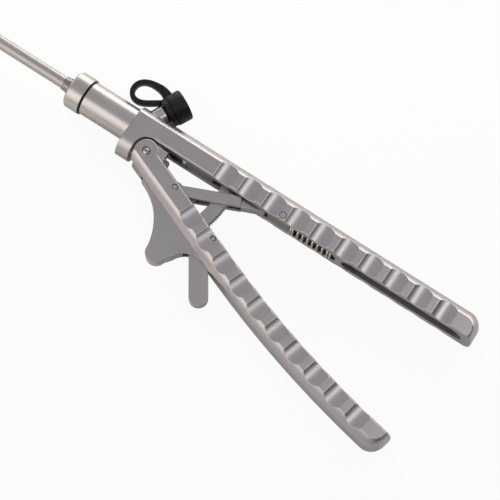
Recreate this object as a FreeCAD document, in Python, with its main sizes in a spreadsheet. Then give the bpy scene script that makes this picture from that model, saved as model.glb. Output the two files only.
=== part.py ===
import FreeCAD, Part
import Sketcher
import math
import os

# Laparoscopic needle holder lying on its side, in millimetres.
# X runs from the jaws (minus) to the hand (plus), Y up through the upper handle's back, Z is its thickness.
# The origin lies on the shaft's axis, where the shaft leaves its ferrule.

SIZES = {
    # Shaft, push rod and the parts that carry them
    "shaft_radius": 2.5,
    "shaft_wall": 0.45,
    "shaft_spigot_radius": 2.3,
    "working_length": 330.0,
    "rod_radius": 1.2,
    "rod_bore": 1.7,
    "cone_length": 4.0,
    "cone_front_radius": 2.85,
    "cone_land": 0.4,
    "cone_band": 0.8,
    "ferrule_radius": 3.35,
    "flange_radius": 5.4,
    "flange_thickness": 1.4,
    # Collar nut, seal ring and barrel
    "collar_radius": 7.46,
    "collar_length": 6.6,
    "collar_chamfer": 0.8,
    "collar_front_wall": 1.4,
    "collar_fit": 0.05,
    "seal_gap": 0.7,
    "seal_radius": 7.0,
    "barrel_radius": 6.8,
    "barrel_length": 20.5,
    "spigot_radius": 5.6,
    "tenon_radius": 5.0,
    "tenon_length": 3.6,
    # Bar stock that both handles are milled from
    "bar_radius": 8.36,
    "half_thickness": 7.0,
    "edge_break": 0.6,
    "end_round": 6.0,
    # Upper handle
    "handle_length": 150.1,
    "floor_drop": 1.9,
    "lobe_drop": 5.6,
    "lobe_radius": 7.0,
    "recess_gap": 0.9,
    "channel_start": 48.9,
    "channel_length": 74.4,
    "channel_half": 4.5,
    "channel_roof": 4.4,
    "bridge": 2.5,
    "pocket_length": 52.0,
    # Finger flutes of both handles
    "flute_first": 72.7,
    "flute_pitch": 10.6,
    "flute_width": 7.7,
    "flute_depth": 1.2,
    "flute_count": 10,
    # Hinge of the lower handle
    "pivot_x": 42.7,
    "pivot_drop": 7.1,
    "pivot_radius": 1.35,
    "screw_dome_radius": 1.9,
    "screw_crown": 0.15,
    "screw_shoulder": 0.35,
    "pin_ring_gap": 0.3,
    "pin_ring_depth": 0.6,
    "screw_slot_half": 0.25,
    "screw_slot_depth": 0.5,
    "hinge_fit": 0.05,
    "tongue_half": 3.45,
    "tongue_radius": 4.1,
    "side_gap": 0.1,
    # Lower handle, in its own frame: along it from the hinge, and up towards the upper handle
    "lever_angle": 21.7,
    "lever_rise": 1.48,
    "lever_face": 1.33,
    "hub_radius": 4.5,
    "front_shoulder_back": 3.3,
    "front_shoulder_down": 3.1,
    "front_toe_back": 0.7,
    "heel_start": 2.2,
    "heel_length": 5.5,
    "heel_height": 6.1,
    "heel_foot": 7.1,
    "heel_step": 0.25,
    "bend_start": 51.6,
    "bend_radius": 420.0,
    "bend_length": 80.1,
    "lever_end_length": 8.2,
    "lever_flute_first": 30.95,
    "slot_floor": 2.9,
    "slot_end": 49.0,
    # Link, rack and slider
    "link_pin_along": 17.9,
    "link_pin_up": 0.8,
    "link_pin_radius": 0.95,
    "link_length": 32.9,
    "link_width": 4.2,
    "link_half": 3.45,
    "link_hub": 3.2,
    "link_neck": 25.0,
    "eye_radius": 2.3,
    "eye_half": 2.5,
    "eye_gap": 1.0,
    "slider_pin_radius": 1.15,
    "open_pivot_gap": 0.25,
    "link_slot_start": 8.0,
    "rack_radius": 36.0,
    "rack_band": 5.6,
    "rack_thickness": 3.0,
    "rack_height": 5.6,
    "rack_gap": 0.15,
    "rack_end": 0.3,
    "tooth_height": 0.7,
    "tooth_count": 14,
    "teeth_below_latch": 5,
    "teeth_per_squeeze": 6,
    "latch_phase": 0.25,
    "slider_front": 56.9,
    "slider_nose_length": 19.0,
    "rod_seat": 8.0,
    "slider_floor": 1.6,
    "slider_top": 4.2,
    "slider_web": 2.6,
    "slider_gap": 0.1,
    "cheek_front": 3.6,
    "guide_pin_behind": 9.1,
    "guide_pin_radius": 1.1,
    "slider_tail": 13.1,
    "slide_travel": 2.15,
    # Return spring
    "spring_radius": 2.9,
    "spring_wire": 0.45,
    "spring_turns": 9,
    "spring_rise": 1.2,
    "spring_guide_radius": 1.6,
    "spring_guide_length": 11.0,
    "spring_guide_seat": 2.4,
    "spring_end_gap": 1.3,
    # Finger rest, in the lower handle's frame
    "rest_thickness": 5.0,
    "rest_front_along": 7.1,
    "rest_tip_along": 33.5,
    "rest_tip_down": 18.5,
    "rest_tip_radius": 4.0,
    "rest_front_bow": 26.0,
    "rest_rear_along": 46.8,
    "rest_rear_bow": 8.3,
    "rest_front_step": 0.4,
    "rest_front_turn": 16.0,
    "rest_rear_turn": 10.0,
    "rest_rear_step": 0.9,
    "rest_rear_rise": 3.0,
    "rest_rear_sink": 0.3,
    "rest_slit_start": 27.0,
    "rest_slit_depth": 3.8,
    # Release trigger, in the lower handle's frame
    "trigger_pin_along": 42.0,
    "trigger_pin_up": 1.3,
    "trigger_pin_radius": 0.75,
    "trigger_hub": 1.5,
    "trigger_bar": 3.6,
    "trigger_thickness": 3.0,
    "trigger_knee_along": 43.6,
    "trigger_knee_down": 6.4,
    "trigger_end_along": 56.3,
    "trigger_end_down": 15.1,
    "trigger_slot_start": 40.0,
    "trigger_slot_end": 55.5,
    "nose_angle": 6.34,
    "nose_flank": 1.6,
    "nose_tip": 0.3,
    "nose_relief": 0.1,
    "nose_gap": 0.1,
    "latched_nose_angle": 5.65,
    "squeeze_angle": 11.0,
    # Flush port, its cap and tether, along the port's own axis
    "port_foot_x": 33.9,
    "port_lean": 26.7,
    "port_radius": 2.9,
    "port_base_radius": 3.9,
    "port_base_start": 6.2,
    "port_base_end": 12.2,
    "port_base_chamfer": 0.8,
    "port_lip_radius": 3.9,
    "port_lip": 1.2,
    "port_end": 18.3,
    "port_bore": 2.1,
    "cap_start": 14.4,
    "cap_length": 6.0,
    "cap_radius": 6.1,
    "cap_round": 0.7,
    "cap_inner": 4.1,
    "cap_depth": 4.2,
    "cap_plug": 1.8,
    "plug_depth": 2.5,
    "ring_fit": 0.05,
    "ring_outer": 5.7,
    "ring_end_gap": 0.15,
    "tether_centre_x": 27.2,
    "tether_centre_y": 13.0,
    "tether_radius": 4.0,
    "tether_thickness": 1.9,
    "tether_width": 3.0,
    "tether_top_angle": 72.0,
    "tether_low_angle": 62.0,
    "tether_seat": 1.6,
    "tether_flare": 1.4,
    "tether_hook": 1.3,
    "tether_fit": 0.05,
    # Jaws
    "jaw_length": 15.0,
    "jaw_radius": 2.3,
    "jaw_pivot_up": 1.05,
    "jaw_pivot_radius": 0.6,
    "jaw_pivot_fit": 0.04,
    "drive_arm": 2.35,
    "drive_pin_radius": 0.45,
    "drive_fit": 0.05,
    "jaw_open_angle": 52.8,
    "clevis_half": 1.3,
    "clevis_back": 8.0,
    "clevis_wall": 1.4,
    "clevis_nose": 2.1,
    "clevis_run_out": 1.0,
    "jaw_hub": 0.95,
    "jaw_rear": 2.4,
    "rear_lap": 0.4,
    "tang_gap": 0.05,
    "tang_foot": 0.35,
    "tang_nose": 0.6,
    "tang_back": 3.2,
    "jaw_rod_gap": 0.3,
    "pin_inset": 0.6,
    "nut_radius": 2.3,
    "nut_length": 1.8,
    "tang_half": 0.5,
    "tail_gap": 0.06,
    "insert_thickness": 0.6,
    "insert_half": 1.5,
    "insert_length": 11.0,
    "bite_gap": 0.03,
    "jaw_tip_taper": 1.5,
    "socket_length": 7.0,
}

doc = FreeCAD.newDocument("needle_holder")
sheet = doc.addObject("Spreadsheet::Sheet", "Sizes")
for row, (alias, number) in enumerate(SIZES.items(), start=1):
    sheet.set(f"A{row}", alias)
    sheet.set(f"B{row}", str(number))
    sheet.setAlias(f"B{row}", alias)
doc.recompute()


class Size:
    """A length or angle that knows its number and the expression binding it to the sheet."""

    def __init__(self, value, text):
        self.value = float(value)
        self.text = text

    def __add__(self, other):
        other = as_size(other)
        return Size(self.value + other.value, f"({self.text} + {other.text})")

    def __sub__(self, other):
        other = as_size(other)
        return Size(self.value - other.value, f"({self.text} - {other.text})")

    def __mul__(self, other):
        other = as_size(other)
        return Size(self.value * other.value, f"({self.text} * {other.text})")

    def __truediv__(self, other):
        other = as_size(other)
        return Size(self.value / other.value, f"({self.text} / {other.text})")

    def __radd__(self, other):
        return as_size(other) + self

    def __rsub__(self, other):
        return as_size(other) - self

    def __rmul__(self, other):
        return as_size(other) * self

    def __neg__(self):
        return 0 - self


def as_size(number):
    """Wrap a plain number, so that it can stand beside sheet values."""
    if isinstance(number, Size):
        return number
    return Size(number, f"({number})")


def cosine(angle):
    angle = as_size(angle)
    return Size(math.cos(math.radians(angle.value)), f"cos({angle.text})")


def sine(angle):
    angle = as_size(angle)
    return Size(math.sin(math.radians(angle.value)), f"sin({angle.text})")


def arcsine(ratio):
    return Size(math.degrees(math.asin(ratio.value)), f"(asin({ratio.text}) / 1 deg)")


def root(square):
    return Size(math.sqrt(square.value), f"sqrt({square.text})")


class Dimensions:
    """Sheet values by name, such as dim.shaft_radius."""

    def __getattr__(self, alias):
        return Size(float(sheet.get(alias)), f"Sizes.{alias}")


dim = Dimensions()
OVERCUT = 1.0
WIRE_SIDES = 4
SPRING_STEPS = 10
MITRED = 1
Z_AXIS = FreeCAD.Vector(0, 0, 1)
UPRIGHT = FreeCAD.Rotation()
ALONG_X = FreeCAD.Rotation(FreeCAD.Vector(0, 1, 0), 90)
ALONG_Y = FreeCAD.Rotation(FreeCAD.Vector(1, 0, 0), -90)
UP_FROM_X = FreeCAD.Rotation(FreeCAD.Vector(0, 1, 0), -90)
CROSS_SECTION = FreeCAD.Rotation(FreeCAD.Vector(1, 1, 1), 120)


def place(piece, spot, rotation=UPRIGHT):
    """Put a piece at a spot whose coordinates may be sheet values."""
    numbers = [as_size(part) for part in spot]
    piece.Placement = FreeCAD.Placement(FreeCAD.Vector(*[part.value for part in numbers]), rotation)
    for letter, part in zip("xyz", numbers):
        piece.setExpression(f"Placement.Base.{letter}", part.text)
    return piece


def turn_about_z(piece, spot, angle):
    """Put a piece at a spot, turned about Z by an angle from the sheet."""
    place(piece, spot, FreeCAD.Rotation(Z_AXIS, angle.value))
    piece.setExpression("Placement.Rotation.Angle", angle.text)
    return piece


def cylinder(name, radius, length, spot, rotation=UPRIGHT):
    piece = doc.addObject("Part::Cylinder", name)
    piece.setExpression("Radius", as_size(radius).text)
    piece.setExpression("Height", as_size(length).text)
    return place(piece, spot, rotation)


def box(name, low, high):
    """Box between two corners."""
    piece = doc.addObject("Part::Box", name)
    for side, start, end in zip(("Length", "Width", "Height"), low, high):
        piece.setExpression(side, (as_size(end) - start).text)
    return place(piece, low)


def fuse(name, pieces):
    piece = doc.addObject("Part::MultiFuse", name)
    piece.Shapes = pieces
    piece.Refine = True
    return piece


def cut(name, base, tools):
    """Cut one tool, or several fused into one, from a base."""
    piece = doc.addObject("Part::Cut", name)
    piece.Base = base
    piece.Tool = tools[0] if len(tools) == 1 else fuse(f"{name}_tools", tools)
    piece.Refine = True
    return piece


def common(name, first, second):
    piece = doc.addObject("Part::Common", name)
    piece.Base = first
    piece.Tool = second
    piece.Refine = True
    return piece


def arc_centre(start, end, radius, side):
    """Centre of the arc from start to end that turns left (side 1) or right (side -1)."""
    chord = end - start
    half = chord.Length / 2
    rise = math.sqrt(max(radius ** 2 - half ** 2, 0.0))
    left = FreeCAD.Vector(-chord.y, chord.x, 0).normalize()
    return (start + end) * 0.5 + left * rise * side


def outline(name, corners):
    """Closed sketch through corners (x, y) or (x, y, radius, side), the arc leading up to that corner."""
    sketch = doc.addObject("Sketcher::SketchObject", name)
    points = []
    for corner in corners:
        points.append(FreeCAD.Vector(as_size(corner[0]).value, as_size(corner[1]).value, 0))
    edges = []
    for number, corner in enumerate(corners):
        start = points[number - 1]
        end = points[number]
        if len(corner) == 2:
            edges.append((sketch.addGeometry(Part.LineSegment(start, end)), 1, 2))
            continue
        radius = as_size(corner[2])
        side = corner[3]
        centre = arc_centre(start, end, radius.value, side)
        circle = Part.Circle(centre, Z_AXIS, radius.value)
        first, last = (start, end) if side > 0 else (end, start)
        angles = [math.atan2(point.y - centre.y, point.x - centre.x) for point in (first, last)]
        arc = sketch.addGeometry(Part.ArcOfCircle(circle, angles[0], angles[1]))
        edges.append((arc, 1, 2) if side > 0 else (arc, 2, 1))
        index = sketch.addConstraint(Sketcher.Constraint("Radius", arc, radius.value))
        sketch.setExpression(f"Constraints[{index}]", radius.text)
    for number, (edge, first, last) in enumerate(edges):
        following, entry, _ = edges[(number + 1) % len(edges)]
        sketch.addConstraint(Sketcher.Constraint("Coincident", edge, last, following, entry))
        for kind, size in zip(("DistanceX", "DistanceY"), corners[number][:2]):
            size = as_size(size)
            index = sketch.addConstraint(Sketcher.Constraint(kind, -1, 1, edge, last, size.value))
            sketch.setExpression(f"Constraints[{index}]", size.text)
    return sketch


def plate(name, corners, half):
    """Flat piece in the XY plane, reaching half its thickness to each side of it."""
    piece = doc.addObject("Part::Extrusion", name)
    piece.Base = outline(f"{name}_outline", corners)
    piece.DirMode = "Custom"
    piece.Dir = Z_AXIS
    piece.Solid = True
    piece.Symmetric = True
    piece.setExpression("LengthFwd", (as_size(half) * 2).text)
    return piece


def turned(name, corners):
    """Piece turned about the X axis from a half section of (x, radius) corners."""
    piece = doc.addObject("Part::Revolution", name)
    piece.Source = outline(f"{name}_section", corners)
    piece.Axis = FreeCAD.Vector(1, 0, 0)
    piece.Base = FreeCAD.Vector(0, 0, 0)
    piece.Angle = 360
    piece.Solid = True
    return piece


def capsule(name, first, second, radius, half):
    """Flat bar with round ends between two points."""
    run = (as_size(second[0]) - first[0], as_size(second[1]) - first[1])
    length = root(run[0] * run[0] + run[1] * run[1])
    across = (radius * run[1] / length, radius * run[0] / length)
    corners = [
        (first[0] + across[0], first[1] - across[1]),
        (second[0] + across[0], second[1] - across[1]),
        (second[0] - across[0], second[1] + across[1]),
        (first[0] - across[0], first[1] + across[1]),
    ]
    ends = [disc(f"{name}_end_{number}", spot, radius, half) for number, spot in enumerate((first, second))]
    return fuse(name, [plate(f"{name}_bar", corners, half)] + ends)


def disc(name, spot, radius, half):
    """Round plate across the XY plane."""
    return cylinder(name, radius, as_size(half) * 2, (spot[0], spot[1], -as_size(half)))


def bar_section(name, face, side):
    """Section of the milled bar: round back on one side (1 or -1), flats and a broken-edged inner face."""
    radius = dim.bar_radius
    flat = dim.half_thickness
    corner = dim.edge_break
    shoulder = root(radius * radius - flat * flat)
    return outline(name, [
        (side * shoulder, flat, radius, side),
        (-side * (face - corner), flat),
        (-side * face, flat - corner),
        (-side * face, corner - flat),
        (-side * (face - corner), -flat),
        (side * shoulder, -flat),
    ])


def barrel_and_collar():
    """Turned parts at the front: collar nut, seal ring, ferrule and barrel."""
    nut_start = dim.cone_length
    nut_end = nut_start + dim.collar_length
    bore = dim.spigot_radius + dim.collar_fit
    wall = nut_start + dim.collar_front_wall
    turned("collar_nut", [
        (nut_start, dim.ferrule_radius + dim.side_gap),
        (wall, dim.ferrule_radius + dim.side_gap),
        (wall, bore),
        (nut_end, bore),
        (nut_end, dim.collar_radius),
        (nut_start + dim.collar_chamfer, dim.collar_radius),
        (nut_start, dim.collar_radius - dim.collar_chamfer),
    ])
    barrel_start = nut_end + dim.seal_gap
    turned("seal_ring", [
        (nut_end, dim.spigot_radius),
        (barrel_start, dim.spigot_radius),
        (barrel_start, dim.seal_radius),
        (nut_end, dim.seal_radius),
    ])
    flange_end = wall + dim.flange_thickness
    turned("shaft_ferrule", [
        (0, dim.shaft_spigot_radius),
        (flange_end, dim.shaft_spigot_radius),
        (flange_end, dim.flange_radius),
        (wall, dim.flange_radius),
        (wall, dim.ferrule_radius),
        (nut_start - dim.cone_land, dim.ferrule_radius),
        (dim.cone_band, dim.cone_front_radius),
        (0, dim.cone_front_radius),
    ])
    body_front = barrel_start + dim.barrel_length
    turned("barrel", [
        (flange_end, dim.rod_bore),
        (body_front + dim.tenon_length, dim.rod_bore),
        (body_front + dim.tenon_length, dim.tenon_radius),
        (body_front, dim.tenon_radius),
        (body_front, dim.barrel_radius),
        (barrel_start, dim.barrel_radius),
        (barrel_start, dim.spigot_radius),
        (flange_end, dim.spigot_radius),
    ])
    return body_front


def flute_cutters(name, spots):
    """Cylinders that mill the finger flutes into both flats; each spot is (x, y, turn) on the bar's axis."""
    width = dim.flute_width
    depth = dim.flute_depth
    radius = (width * width / 4 + depth * depth) / (depth * 2)
    reach = dim.bar_radius * 2
    cutters = []
    for number, (along, up, turn) in enumerate(spots):
        for side in (-1, 1):
            height = side * (dim.half_thickness - depth + radius)
            cutter = doc.addObject("Part::Cylinder", f"{name}_{number}_{'near' if side > 0 else 'far'}")
            cutter.setExpression("Radius", radius.text)
            cutter.setExpression("Height", (reach * 2).text)
            rotation = FreeCAD.Rotation(Z_AXIS, turn) * ALONG_Y
            reach_x = reach * math.sin(math.radians(turn))
            place(cutter, (along + reach_x, up - reach * math.cos(math.radians(turn)), height), rotation)
            cutters.append(cutter)
    return cutters


def slot_cutter(name, start, end, half, low, high):
    """Milled slot along X with round ends, open from y = low to y = high."""
    middle = box(f"{name}_middle", (start + half, low, -half), (end - half, high, half))
    ends = []
    for number, centre in enumerate((start + half, end - half)):
        ends.append(cylinder(f"{name}_end_{number}", half, as_size(high) - low, (centre, low, 0), ALONG_Y))
    return fuse(name, [middle] + ends)


def upper_handle(body_front, port_drill):
    """Fixed handle: bar with its hinge tongue, rod bore, channel, pocket and flutes."""
    end = body_front + dim.handle_length
    round_bar = turned("upper_bar_round", [
        (body_front, 0),
        (end, 0),
        (end, dim.bar_radius - dim.end_round),
        (end - dim.end_round, dim.bar_radius, dim.end_round, 1),
        (body_front, dim.bar_radius),
    ])
    milled = doc.addObject("Part::Extrusion", "upper_bar_milled")
    section = bar_section("upper_bar_section", dim.floor_drop, 1)
    milled.Base = place(section, (body_front, 0, 0), CROSS_SECTION)
    milled.DirMode = "Custom"
    milled.Dir = FreeCAD.Vector(1, 0, 0)
    milled.Solid = True
    milled.setExpression("LengthFwd", dim.handle_length.text)
    bar = common("upper_bar", round_bar, milled)

    lobe_end = dim.pivot_x
    flat = dim.half_thickness
    lobe = cylinder("lobe_round", dim.lobe_radius, lobe_end - body_front,
                    (body_front, -dim.lobe_drop, 0), ALONG_X)
    filling = box("lobe_filling", (body_front, -dim.lobe_drop, -flat), (lobe_end, 0, flat))
    lobe_slab = box("lobe_slab", (body_front, -dim.bar_radius * 2, -flat), (lobe_end, dim.bar_radius, flat))
    lobe_block = common("lobe_block", fuse("lobe_blank", [lobe, filling]), lobe_slab)

    recess_radius = dim.hub_radius + dim.recess_gap
    floor = -dim.floor_drop
    pivot = (dim.pivot_x, -dim.pivot_drop)
    deep = -dim.bar_radius * 2
    recess = [
        disc("recess_round", pivot, recess_radius, dim.bar_radius),
        box("recess_below", (pivot[0] - recess_radius, deep, -dim.bar_radius),
            (lobe_end, pivot[1], dim.bar_radius)),
    ]
    block = cut("front_block", fuse("front_blank", [bar, lobe_block]), recess)
    tongue = fuse("hinge_tongue", [
        disc("tongue_round", pivot, dim.tongue_radius, dim.tongue_half),
        box("tongue_neck", (pivot[0] - dim.tongue_radius, pivot[1], -dim.tongue_half),
            (pivot[0] + dim.tongue_radius, floor + dim.edge_break, dim.tongue_half)),
        box("tongue_root", (body_front + dim.tenon_length, pivot[1] - dim.tongue_radius + dim.recess_gap,
                            -dim.tongue_half), (pivot[0], floor + dim.edge_break, dim.tongue_half)),
    ])
    channel_end = dim.channel_start + dim.channel_length
    pocket_start = channel_end + dim.bridge
    below = floor - dim.edge_break
    tools = [
        slot_cutter("channel", dim.channel_start, channel_end, dim.channel_half, below, dim.channel_roof),
        slot_cutter("pocket", pocket_start, pocket_start + dim.pocket_length, dim.channel_half, below,
                    dim.channel_roof),
        cylinder("rod_passage", dim.rod_bore, dim.channel_start + dim.channel_half - body_front,
                 (body_front, 0, 0), ALONG_X),
        cylinder("tenon_socket", dim.tenon_radius, dim.tenon_length, (body_front, 0, 0), ALONG_X),
        disc("tongue_bore", pivot, dim.pivot_radius + dim.hinge_fit, dim.bar_radius),
        disc("guide_pin_hole", (guide_pin_x(), 0), dim.guide_pin_radius, dim.bar_radius),
        pin_ring("guide_pin_ring", (guide_pin_x(), 0), dim.guide_pin_radius, flat),
        port_drill,
        rack_socket(),
    ]
    spots = [(dim.flute_first + dim.flute_pitch * number, as_size(0), 0.0) for number in range(FLUTES)]
    tools += flute_cutters("upper_flute", spots)
    cut("upper_handle", fuse("upper_blank", [block, tongue]), tools)
    disc("guide_pin", (guide_pin_x(), 0), dim.guide_pin_radius, dim.half_thickness - dim.side_gap)


def on_lever(piece):
    """Carry a piece drawn in the lower handle's frame to its place at the hinge."""
    return turn_about_z(piece, (dim.pivot_x, -dim.pivot_drop, 0), -dim.lever_angle)


def lever_spot(along, up):
    """Point of the lower handle's frame, in the row's frame."""
    angle = dim.lever_angle
    return (dim.pivot_x + along * cosine(angle) + up * sine(angle),
            -dim.pivot_drop - along * sine(angle) + up * cosine(angle))


def bend_spot(along):
    """Point and direction on the lower handle's bar axis, a distance along it from the hinge."""
    if along.value <= dim.bend_start.value:
        return (along, dim.lever_rise, 0.0)
    turn = (along - dim.bend_start) / dim.bend_radius * (180 / math.pi)
    return (dim.bend_start + dim.bend_radius * sine(turn),
            dim.lever_rise + dim.bend_radius * (1 - cosine(turn)), turn.value)


def lower_handle():
    """Moving handle: hinge cheeks and heel, straight bar, bent bar, rounded end, slot and flutes."""
    face = dim.lever_face
    flat = dim.half_thickness
    rise = dim.lever_rise
    start = -dim.hub_radius
    straight = doc.addObject("Part::Extrusion", "lever_straight")
    straight.Base = place(bar_section("lever_section", face, -1), (start, rise, 0), CROSS_SECTION)
    straight.DirMode = "Custom"
    straight.Dir = FreeCAD.Vector(1, 0, 0)
    straight.Solid = True
    straight.setExpression("LengthFwd", (dim.bend_start - start).text)
    bent = doc.addObject("Part::Revolution", "lever_bent")
    bent.Source = place(bar_section("lever_bend_section", face, -1), (dim.bend_start, rise, 0), CROSS_SECTION)
    bent.Axis = Z_AXIS
    bent.Base = FreeCAD.Vector(dim.bend_start.value, (rise + dim.bend_radius).value, 0)
    bent.setExpression("Base.x", dim.bend_start.text)
    bent.setExpression("Base.y", (rise + dim.bend_radius).text)
    turn = dim.bend_length / dim.bend_radius * (180 / math.pi)
    bent.setExpression("Angle", turn.text)
    bent.Solid = True
    length = dim.lever_end_length
    end_round = turned("lever_end_round", [
        (0, 0),
        (length, 0),
        (length, dim.bar_radius - dim.end_round),
        (length - dim.end_round, dim.bar_radius, dim.end_round, 1),
        (0, dim.bar_radius),
    ])
    end_milled = doc.addObject("Part::Extrusion", "lever_end_milled")
    end_milled.Base = place(bar_section("lever_end_section", face, -1), (0, 0, 0), CROSS_SECTION)
    end_milled.DirMode = "Custom"
    end_milled.Dir = FreeCAD.Vector(1, 0, 0)
    end_milled.Solid = True
    end_milled.setExpression("LengthFwd", length.text)
    end = common("lever_end", end_round, end_milled)
    spot = bend_spot(dim.bend_start + dim.bend_length)
    turn_about_z(end, (spot[0], spot[1], 0), turn)

    far = dim.bar_radius * 2
    hub = dim.hub_radius
    silhouette = fuse("lever_front_outline", [
        disc("lever_hub", (0, 0), hub, far),
        plate("lever_front", [
            (-dim.front_shoulder_back, -dim.front_shoulder_down),
            (-dim.front_toe_back, rise - dim.bar_radius - OVERCUT),
            (dim.bend_start, rise - dim.bar_radius - OVERCUT),
            (dim.bend_start, far),
            (0, far),
            (0, 0),
        ], far),
    ])
    front = common("lever_straight_front", straight, silhouette)
    crown = common("lever_hub_crown", disc("lever_hub_flat", (0, 0), hub, flat),
                   box("lever_crown_window", (-hub, -dim.front_shoulder_down, -flat), (hub, hub, flat)))
    heel = plate("lever_heel", [
        (-dim.heel_start, hub - dim.recess_gap),
        (0, 0),
        (dim.heel_foot, 0),
        (dim.heel_foot, rise + face),
        (dim.heel_length, dim.heel_height),
    ], flat - dim.heel_step)
    blank = fuse("lever_blank", [front, bent, end, crown, heel])

    slot = dim.tongue_half + dim.side_gap
    clear = dim.tongue_radius + dim.recess_gap / 2
    half_rest = dim.rest_thickness / 2
    half_trigger = dim.trigger_thickness / 2 + dim.rack_gap
    tools = [
        box("lever_slot", (-far, -dim.slot_floor, -slot), (dim.slot_end, far, slot)),
        box("lever_front_slot", (-far, -far, -slot), (0, 0, slot)),
        disc("lever_hub_slot", (0, 0), clear, slot),
        box("trigger_slot", (dim.trigger_slot_start, -far, -half_trigger),
            (dim.trigger_slot_end, 0, half_trigger)),
        box("rest_slot", (dim.rest_front_along - OVERCUT, -far, -half_rest),
            (dim.rest_rear_along, 0, half_rest)),
        disc("lever_pivot_bore", (0, 0), dim.pivot_radius, far),
        disc("lever_link_bore", (dim.link_pin_along, dim.link_pin_up), dim.link_pin_radius, far),
        disc("lever_trigger_bore", (dim.trigger_pin_along, dim.trigger_pin_up), dim.trigger_pin_radius, far),
        pin_ring("lever_pivot_ring", (0, 0), dim.pivot_radius, flat),
        pin_ring("lever_link_ring", (dim.link_pin_along, dim.link_pin_up), dim.link_pin_radius, flat),
        pin_ring("lever_trigger_ring", (dim.trigger_pin_along, dim.trigger_pin_up), dim.trigger_pin_radius,
                 flat - dim.flute_depth),
    ]
    spots = [bend_spot(dim.lever_flute_first + dim.flute_pitch * number) for number in range(FLUTES)]
    tools += flute_cutters("lever_flute", spots)
    on_lever(cut("lower_handle", blank, tools))


def pins():
    """Hinge screw with its slot, and the plain pins of link and trigger."""
    flat = dim.half_thickness
    pivot = (dim.pivot_x, -dim.pivot_drop)
    crown = flat + dim.screw_crown
    screw = turned("screw_blank", [
        (-flat, 0),
        (crown, 0),
        (flat - dim.screw_shoulder, dim.pivot_radius, dim.screw_dome_radius, 1),
        (-flat, dim.pivot_radius),
    ])
    place(screw, (pivot[0], pivot[1], 0), UP_FROM_X)
    slot = box("screw_slot",
               (pivot[0] - dim.pivot_radius * 2, pivot[1] - dim.screw_slot_half, flat - dim.screw_slot_depth),
               (pivot[0] + dim.pivot_radius * 2, pivot[1] + dim.screw_slot_half, crown + OVERCUT))
    cut("hinge_screw", screw, [slot])
    sunk = flat - dim.side_gap * 2
    disc("link_pin", lever_spot(dim.link_pin_along, dim.link_pin_up), dim.link_pin_radius, sunk)
    disc("trigger_pin", lever_spot(dim.trigger_pin_along, dim.trigger_pin_up), dim.trigger_pin_radius,
         sunk - dim.flute_depth)


def link_angle():
    """Angle of the link above the X axis at rest; its far eye lies on the shaft's axis."""
    return arcsine(-link_foot()[1] / dim.link_length)


def link_foot():
    return lever_spot(dim.link_pin_along, dim.link_pin_up)


def slider_pin_x():
    foot = link_foot()
    return foot[0] + root(dim.link_length * dim.link_length - foot[1] * foot[1])


def pin_ring(name, spot, radius, surface):
    """Shallow ring milled round a pin, in from the surface on the side of the screw's slot."""
    return cylinder(name, radius + dim.pin_ring_gap, dim.pin_ring_depth + OVERCUT,
                    (spot[0], spot[1], surface - dim.pin_ring_depth))


def guide_pin_x():
    return slider_pin_x() + dim.guide_pin_behind


def on_link(piece):
    """Carry a piece drawn in the link's frame to its place on the link pin."""
    foot = link_foot()
    return turn_about_z(piece, (foot[0], foot[1], 0), link_angle())


def link():
    """Flat link with a thick bar, a hub on the link pin and a thin eye in the slider."""
    half_width = dim.link_width / 2
    bar = plate("link_bar", [
        (0, -half_width),
        (dim.link_neck, -half_width),
        (dim.link_neck, half_width),
        (0, half_width),
    ], dim.link_half)
    neck = plate("link_neck_plate", [
        (dim.link_neck - OVERCUT, -half_width),
        (dim.link_length, -dim.eye_radius),
        (dim.link_length, dim.eye_radius),
        (dim.link_neck - OVERCUT, half_width),
    ], dim.eye_half)
    blank = fuse("link_blank", [
        bar,
        neck,
        disc("link_hub_disc", (0, 0), dim.link_hub, dim.link_half),
        disc("link_eye_disc", (dim.link_length, 0), dim.eye_radius, dim.eye_half),
    ])
    rack_slot = dim.rack_thickness / 2 + dim.rack_gap
    bores = [
        box("link_rack_slot", (dim.link_slot_start, -dim.link_hub, -rack_slot),
            (dim.link_neck, dim.link_hub, rack_slot)),
        disc("link_hub_bore", (0, 0), dim.link_pin_radius + dim.hinge_fit, dim.bar_radius),
        disc("link_eye_bore", (dim.link_length, 0), dim.slider_pin_radius + dim.open_pivot_gap,
             dim.bar_radius),
    ]
    on_link(cut("link", blank, bores))


def rack_corners(low):
    """Sides of the rack's arc about the hinge, from a low angle up to its root in the channel's roof."""
    outer = dim.rack_radius
    inner = outer - dim.rack_band
    top = dim.rack_height + dim.pivot_drop
    return [
        (inner * cosine(low), inner * sine(low)),
        (outer * cosine(low), outer * sine(low)),
        (root(outer * outer - top * top), top, outer, 1),
        (root(inner * inner - top * top), top),
    ], inner


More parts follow.
